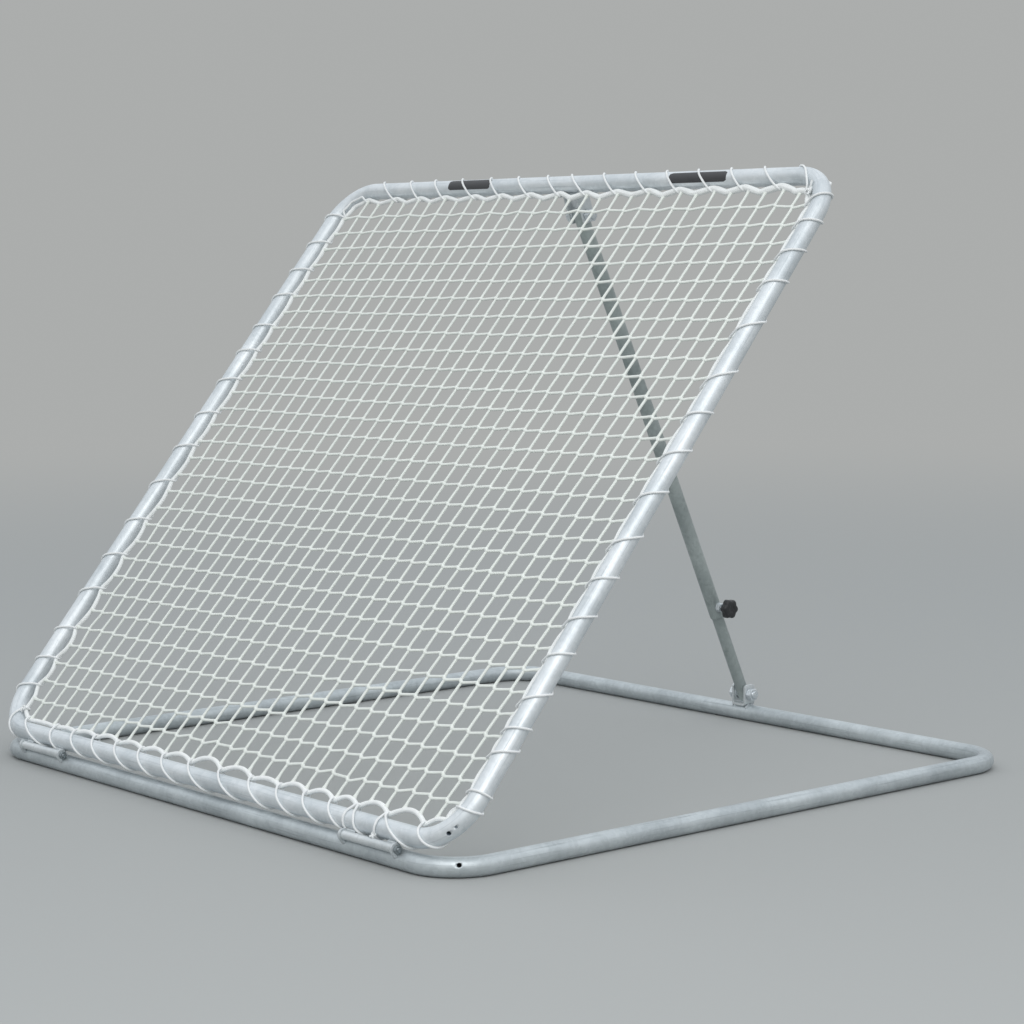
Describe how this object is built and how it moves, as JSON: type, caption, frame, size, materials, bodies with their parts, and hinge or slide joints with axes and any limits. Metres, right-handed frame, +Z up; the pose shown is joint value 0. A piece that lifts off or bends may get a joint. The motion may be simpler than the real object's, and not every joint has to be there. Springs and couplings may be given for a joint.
{
  "type": "rebound net",
  "caption": "Square tubular frame laced with a square-mesh net, hinged along the front of a flat tube base and propped from behind by a telescopic strut with a clamp knob",
  "frame": {"origin": "middle of the footprint, on the ground under the base frame", "axes": "+X along the front rail to the right as seen from the net's playing side, +Y to the back where the strut stands, +Z up"},
  "size_m": [1.5092, 1.4464, 1.1758],
  "materials": {
    "frame_tube": "galvanised",
    "bolt": "zinc plated",
    "knob": "moulded, satin",
    "net_cord": "knotless cord",
    "lacing_cord": "braided cord"
  },
  "bodies": {
    "base": {"base_frame": "frame_tube", "hinge_ear_left_inner": "frame_tube", "hinge_ear_left_outer": "frame_tube", "hinge_ear_right_inner": "frame_tube", "hinge_ear_right_outer": "frame_tube", "hinge_bolt_left": "bolt", "hinge_bolt_right": "bolt", "hinge_nut_left": "bolt", "hinge_nut_right": "bolt", "rear_bracket": "frame_tube", "rear_bolt": "bolt", "rear_nut": "bolt", "rear_washer_left": "bolt", "rear_washer_right": "bolt"},
    "net_frame": {"net_frame": "frame_tube", "net": "net_cord", "lacing_bottom": "lacing_cord", "lacing_right": "lacing_cord", "lacing_top": "lacing_cord", "lacing_left": "lacing_cord", "hinge_sleeve_left": "frame_tube", "hinge_sleeve_right": "frame_tube", "top_bracket": "frame_tube", "top_bolt": "bolt", "top_nut": "bolt", "top_washer_left": "bolt", "top_washer_right": "bolt"},
    "strut_outer": {"strut_outer_tube": "frame_tube", "clamp_nut": "bolt"},
    "strut_inner": {"strut_inner_tube": "frame_tube"},
    "clamp_screw": {"clamp_screw": "bolt"},
    "clamp_knob": {"clamp_knob": "knob"}
  },
  "joints": [
    {"name": "net_tilt", "type": "hinge", "parent": "base", "child": "net_frame", "pos_m": [0, -0.71239, 0.03782], "axis": [1, 0, 0], "range_deg": [-5.3, 27.7]},
    {"name": "strut_top_pivot", "type": "hinge", "parent": "net_frame", "child": "strut_outer", "pos_m": [0.012, 0.23726, 1.09143], "axis": [1, 0, 0], "range_deg": [-13.9, 2.7]},
    {"name": "strut_rear_pivot", "type": "hinge", "parent": "base", "child": "strut_inner", "pos_m": [0.012, 0.70589, 0.05796], "axis": [1, 0, 0], "range_deg": [-2.7, 13.9]},
    {"name": "clamp_screw_slide", "type": "slide", "parent": "strut_outer", "child": "clamp_screw", "axis": [1, 0, 0], "range_m": [0, 0.006]},
    {"name": "clamp_knob_turn", "type": "hinge", "parent": "clamp_screw", "child": "clamp_knob", "pos_m": [0.012, 0.61596, 0.25628], "axis": [1, 0, 0], "range_deg": [0, 1444]}
  ],
  "couplings": [
    {"joint": "strut_top_pivot", "follows": "net_tilt", "ratio": -0.5},
    {"joint": "strut_rear_pivot", "follows": "net_tilt", "ratio": 0.5},
    {"joint": "clamp_knob_turn", "follows": "clamp_screw_slide", "rad_per_m": 4188.8}
  ]
}
